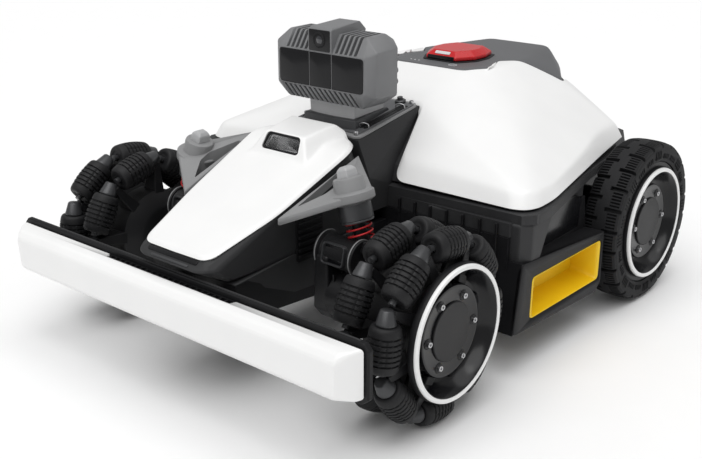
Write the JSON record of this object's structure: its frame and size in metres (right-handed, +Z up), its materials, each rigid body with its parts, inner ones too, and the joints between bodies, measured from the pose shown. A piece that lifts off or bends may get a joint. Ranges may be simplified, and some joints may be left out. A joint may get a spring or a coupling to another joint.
{
  "type": "four-wheel robot lawn mower",
  "caption": "Robot mower with grooved omni wheels in front, lugged rear wheels, floating bumper, sensor head, stop button and height-adjusted blade disc.",
  "frame": {"origin": "on the ground, under the middle of the mower", "axes": "+Z up, the front faces -Y, +X is the mower's left side"},
  "size_m": [0.512, 0.694, 0.348],
  "materials": {
    "black_plastic": "fine-textured, matt",
    "dark_housing": "fine-textured, matt",
    "white_shell": "satin",
    "red_gloss": "glossy",
    "grey_plastic": "fine-textured, satin",
    "yellow_plastic": "satin",
    "spring_red": "painted",
    "cast_black": "satin, cast",
    "blade_steel": "ground",
    "tyre": "moulded rubber",
    "roller_rubber": "moulded rubber"
  },
  "bodies": {
    "chassis": {"chassis_tub": "black_plastic", "upper_housing": "dark_housing", "top_cover": "white_shell", "rear_deck": "dark_housing", "nose_frame": "dark_housing", "nose_cover": "white_shell", "sensor_pedestal": "grey_plastic", "sensor_head": "grey_plastic", "battery_pack": "black_plastic", "grip_pocket_left": "yellow_plastic", "grip_pocket_right": "yellow_plastic", "strut_bracket_left": "grey_plastic", "strut_bracket_right": "grey_plastic", "strut_spring_left": "spring_red", "strut_spring_right": "spring_red"},
    "bumper": {"bumper_shell": "white_shell", "bumper_beam": "black_plastic"},
    "stop_button": {"stop_button": "red_gloss"},
    "cutter_carriage": {"cutter_deck": "black_plastic"},
    "blade_disc": {"blade_disc": "blade_steel"},
    "knuckle_left": {"knuckle_left": "cast_black"},
    "front_wheel_left": {"front_hub_left": "cast_black"},
    "rear_wheel_left": {"rear_tyre_left": "tyre", "rear_rim_left": "cast_black"},
    "roller_left_outer_1": {"roller_left_outer_1": "roller_rubber"},
    "roller_left_outer_2": {"roller_left_outer_2": "roller_rubber"},
    "roller_left_outer_3": {"roller_left_outer_3": "roller_rubber"},
    "roller_left_outer_4": {"roller_left_outer_4": "roller_rubber"},
    "roller_left_outer_5": {"roller_left_outer_5": "roller_rubber"},
    "roller_left_outer_6": {"roller_left_outer_6": "roller_rubber"},
    "roller_left_outer_7": {"roller_left_outer_7": "roller_rubber"},
    "roller_left_outer_8": {"roller_left_outer_8": "roller_rubber"},
    "roller_left_inner_1": {"roller_left_inner_1": "roller_rubber"},
    "roller_left_inner_2": {"roller_left_inner_2": "roller_rubber"},
    "roller_left_inner_3": {"roller_left_inner_3": "roller_rubber"},
    "roller_left_inner_4": {"roller_left_inner_4": "roller_rubber"},
    "roller_left_inner_5": {"roller_left_inner_5": "roller_rubber"},
    "roller_left_inner_6": {"roller_left_inner_6": "roller_rubber"},
    "roller_left_inner_7": {"roller_left_inner_7": "roller_rubber"},
    "roller_left_inner_8": {"roller_left_inner_8": "roller_rubber"},
    "knuckle_right": {"knuckle_right": "cast_black"},
    "front_wheel_right": {"front_hub_right": "cast_black"},
    "rear_wheel_right": {"rear_tyre_right": "tyre", "rear_rim_right": "cast_black"},
    "roller_right_outer_1": {"roller_right_outer_1": "roller_rubber"},
    "roller_right_outer_2": {"roller_right_outer_2": "roller_rubber"},
    "roller_right_outer_3": {"roller_right_outer_3": "roller_rubber"},
    "roller_right_outer_4": {"roller_right_outer_4": "roller_rubber"},
    "roller_right_outer_5": {"roller_right_outer_5": "roller_rubber"},
    "roller_right_outer_6": {"roller_right_outer_6": "roller_rubber"},
    "roller_right_outer_7": {"roller_right_outer_7": "roller_rubber"},
    "roller_right_outer_8": {"roller_right_outer_8": "roller_rubber"},
    "roller_right_inner_1": {"roller_right_inner_1": "roller_rubber"},
    "roller_right_inner_2": {"roller_right_inner_2": "roller_rubber"},
    "roller_right_inner_3": {"roller_right_inner_3": "roller_rubber"},
    "roller_right_inner_4": {"roller_right_inner_4": "roller_rubber"},
    "roller_right_inner_5": {"roller_right_inner_5": "roller_rubber"},
    "roller_right_inner_6": {"roller_right_inner_6": "roller_rubber"},
    "roller_right_inner_7": {"roller_right_inner_7": "roller_rubber"},
    "roller_right_inner_8": {"roller_right_inner_8": "roller_rubber"}
  },
  "joints": [
    {"name": "bumper_press", "type": "slide", "parent": "chassis", "child": "bumper", "axis": [0, 1, 0], "range_m": [0, 0.004], "stiffness_N_per_m": 3000, "springref_m": -0.002},
    {"name": "stop_button_press", "type": "slide", "parent": "chassis", "child": "stop_button", "axis": [0, 0, -1], "range_m": [0, 0.004], "stiffness_N_per_m": 800, "springref_m": -0.003},
    {"name": "cutting_height", "type": "slide", "parent": "chassis", "child": "cutter_carriage", "axis": [0, 0, 1], "range_m": [-0.015, 0.015]},
    {"name": "blade_spin", "type": "hinge", "parent": "cutter_carriage", "child": "blade_disc", "pos_m": [0, 0.02, 0.052], "axis": [0, 0, 1], "continuous": true},
    {"name": "suspension_left", "type": "slide", "parent": "chassis", "child": "knuckle_left", "axis": [0, 0, 1], "range_m": [0, 0.01], "stiffness_N_per_m": 6000, "springref_m": -0.014, "deforming": ["strut_spring_left"]},
    {"name": "front_wheel_left_spin", "type": "hinge", "parent": "knuckle_left", "child": "front_wheel_left", "pos_m": [0.21, -0.194, 0.098], "axis": [1, 0, 0], "continuous": true},
    {"name": "rear_wheel_left_spin", "type": "hinge", "parent": "chassis", "child": "rear_wheel_left", "pos_m": [0.23, 0.2146, 0.098], "axis": [1, 0, 0], "continuous": true},
    {"name": "roller_left_outer_1_spin", "type": "hinge", "parent": "front_wheel_left", "child": "roller_left_outer_1", "pos_m": [0.23, -0.24573, 0.16098], "axis": [0, -0.7727, -0.6347], "continuous": true},
    {"name": "roller_left_outer_2_spin", "type": "hinge", "parent": "front_wheel_left", "child": "roller_left_outer_2", "pos_m": [0.23, -0.27511, 0.10595], "axis": [0, -0.0976, -0.9952], "continuous": true},
    {"name": "roller_left_outer_3_spin", "type": "hinge", "parent": "front_wheel_left", "child": "roller_left_outer_3", "pos_m": [0.23, -0.25698, 0.04627], "axis": [0, 0.6347, -0.7727], "continuous": true},
    {"name": "roller_left_outer_4_spin", "type": "hinge", "parent": "front_wheel_left", "child": "roller_left_outer_4", "pos_m": [0.23, -0.20195, 0.01689], "axis": [0, 0.9952, -0.0976], "continuous": true},
    {"name": "roller_left_outer_5_spin", "type": "hinge", "parent": "front_wheel_left", "child": "roller_left_outer_5", "pos_m": [0.23, -0.14227, 0.03502], "axis": [0, 0.7727, 0.6347], "continuous": true},
    {"name": "roller_left_outer_6_spin", "type": "hinge", "parent": "front_wheel_left", "child": "roller_left_outer_6", "pos_m": [0.23, -0.11289, 0.09005], "axis": [0, 0.0976, 0.9952], "continuous": true},
    {"name": "roller_left_outer_7_spin", "type": "hinge", "parent": "front_wheel_left", "child": "roller_left_outer_7", "pos_m": [0.23, -0.13102, 0.14973], "axis": [0, -0.6347, 0.7727], "continuous": true},
    {"name": "roller_left_outer_8_spin", "type": "hinge", "parent": "front_wheel_left", "child": "roller_left_outer_8", "pos_m": [0.23, -0.18605, 0.17911], "axis": [0, -0.9952, 0.0976], "continuous": true},
    {"name": "roller_left_inner_1_spin", "type": "hinge", "parent": "front_wheel_left", "child": "roller_left_inner_1", "pos_m": [0.187, -0.26589, 0.13639], "axis": [0, -0.471, -0.8821], "continuous": true},
    {"name": "roller_left_inner_2_spin", "type": "hinge", "parent": "front_wheel_left", "child": "roller_left_inner_2", "pos_m": [0.187, -0.27198, 0.07431], "axis": [0, 0.2907, -0.9568], "continuous": true},
    {"name": "roller_left_inner_3_spin", "type": "hinge", "parent": "front_wheel_left", "child": "roller_left_inner_3", "pos_m": [0.187, -0.23239, 0.02611], "axis": [0, 0.8821, -0.471], "continuous": true},
    {"name": "roller_left_inner_4_spin", "type": "hinge", "parent": "front_wheel_left", "child": "roller_left_inner_4", "pos_m": [0.187, -0.17031, 0.02002], "axis": [0, 0.9568, 0.2907], "continuous": true},
    {"name": "roller_left_inner_5_spin", "type": "hinge", "parent": "front_wheel_left", "child": "roller_left_inner_5", "pos_m": [0.187, -0.12211, 0.05961], "axis": [0, 0.471, 0.8821], "continuous": true},
    {"name": "roller_left_inner_6_spin", "type": "hinge", "parent": "front_wheel_left", "child": "roller_left_inner_6", "pos_m": [0.187, -0.11602, 0.12169], "axis": [0, -0.2907, 0.9568], "continuous": true},
    {"name": "roller_left_inner_7_spin", "type": "hinge", "parent": "front_wheel_left", "child": "roller_left_inner_7", "pos_m": [0.187, -0.15561, 0.16989], "axis": [0, -0.8821, 0.471], "continuous": true},
    {"name": "roller_left_inner_8_spin", "type": "hinge", "parent": "front_wheel_left", "child": "roller_left_inner_8", "pos_m": [0.187, -0.21769, 0.17598], "axis": [0, -0.9568, -0.2907], "continuous": true},
    {"name": "suspension_right", "type": "slide", "parent": "chassis", "child": "knuckle_right", "axis": [0, 0, 1], "range_m": [0, 0.01], "stiffness_N_per_m": 6000, "springref_m": -0.014, "deforming": ["strut_spring_right"]},
    {"name": "front_wheel_right_spin", "type": "hinge", "parent": "knuckle_right", "child": "front_wheel_right", "pos_m": [-0.21, -0.194, 0.098], "axis": [1, 0, 0], "continuous": true},
    {"name": "rear_wheel_right_spin", "type": "hinge", "parent": "chassis", "child": "rear_wheel_right", "pos_m": [-0.23, 0.2146, 0.098], "axis": [1, 0, 0], "continuous": true},
    {"name": "roller_right_outer_1_spin", "type": "hinge", "parent": "front_wheel_right", "child": "roller_right_outer_1", "pos_m": [-0.23, -0.24573, 0.16098], "axis": [0, -0.7727, -0.6347], "continuous": true},
    {"name": "roller_right_outer_2_spin", "type": "hinge", "parent": "front_wheel_right", "child": "roller_right_outer_2", "pos_m": [-0.23, -0.27511, 0.10595], "axis": [0, -0.0976, -0.9952], "continuous": true},
    {"name": "roller_right_outer_3_spin", "type": "hinge", "parent": "front_wheel_right", "child": "roller_right_outer_3", "pos_m": [-0.23, -0.25698, 0.04627], "axis": [0, 0.6347, -0.7727], "continuous": true},
    {"name": "roller_right_outer_4_spin", "type": "hinge", "parent": "front_wheel_right", "child": "roller_right_outer_4", "pos_m": [-0.23, -0.20195, 0.01689], "axis": [0, 0.9952, -0.0976], "continuous": true},
    {"name": "roller_right_outer_5_spin", "type": "hinge", "parent": "front_wheel_right", "child": "roller_right_outer_5", "pos_m": [-0.23, -0.14227, 0.03502], "axis": [0, 0.7727, 0.6347], "continuous": true},
    {"name": "roller_right_outer_6_spin", "type": "hinge", "parent": "front_wheel_right", "child": "roller_right_outer_6", "pos_m": [-0.23, -0.11289, 0.09005], "axis": [0, 0.0976, 0.9952], "continuous": true},
    {"name": "roller_right_outer_7_spin", "type": "hinge", "parent": "front_wheel_right", "child": "roller_right_outer_7", "pos_m": [-0.23, -0.13102, 0.14973], "axis": [0, -0.6347, 0.7727], "continuous": true},
    {"name": "roller_right_outer_8_spin", "type": "hinge", "parent": "front_wheel_right", "child": "roller_right_outer_8", "pos_m": [-0.23, -0.18605, 0.17911], "axis": [0, -0.9952, 0.0976], "continuous": true},
    {"name": "roller_right_inner_1_spin", "type": "hinge", "parent": "front_wheel_right", "child": "roller_right_inner_1", "pos_m": [-0.187, -0.26589, 0.13639], "axis": [0, -0.471, -0.8821], "continuous": true},
    {"name": "roller_right_inner_2_spin", "type": "hinge", "parent": "front_wheel_right", "child": "roller_right_inner_2", "pos_m": [-0.187, -0.27198, 0.07431], "axis": [0, 0.2907, -0.9568], "continuous": true},
    {"name": "roller_right_inner_3_spin", "type": "hinge", "parent": "front_wheel_right", "child": "roller_right_inner_3", "pos_m": [-0.187, -0.23239, 0.02611], "axis": [0, 0.8821, -0.471], "continuous": true},
    {"name": "roller_right_inner_4_spin", "type": "hinge", "parent": "front_wheel_right", "child": "roller_right_inner_4", "pos_m": [-0.187, -0.17031, 0.02002], "axis": [0, 0.9568, 0.2907], "continuous": true},
    {"name": "roller_right_inner_5_spin", "type": "hinge", "parent": "front_wheel_right", "child": "roller_right_inner_5", "pos_m": [-0.187, -0.12211, 0.05961], "axis": [0, 0.471, 0.8821], "continuous": true},
    {"name": "roller_right_inner_6_spin", "type": "hinge", "parent": "front_wheel_right", "child": "roller_right_inner_6", "pos_m": [-0.187, -0.11602, 0.12169], "axis": [0, -0.2907, 0.9568], "continuous": true},
    {"name": "roller_right_inner_7_spin", "type": "hinge", "parent": "front_wheel_right", "child": "roller_right_inner_7", "pos_m": [-0.187, -0.15561, 0.16989], "axis": [0, -0.8821, 0.471], "continuous": true},
    {"name": "roller_right_inner_8_spin", "type": "hinge", "parent": "front_wheel_right", "child": "roller_right_inner_8", "pos_m": [-0.187, -0.21769, 0.17598], "axis": [0, -0.9568, -0.2907], "continuous": true}
  ]
}
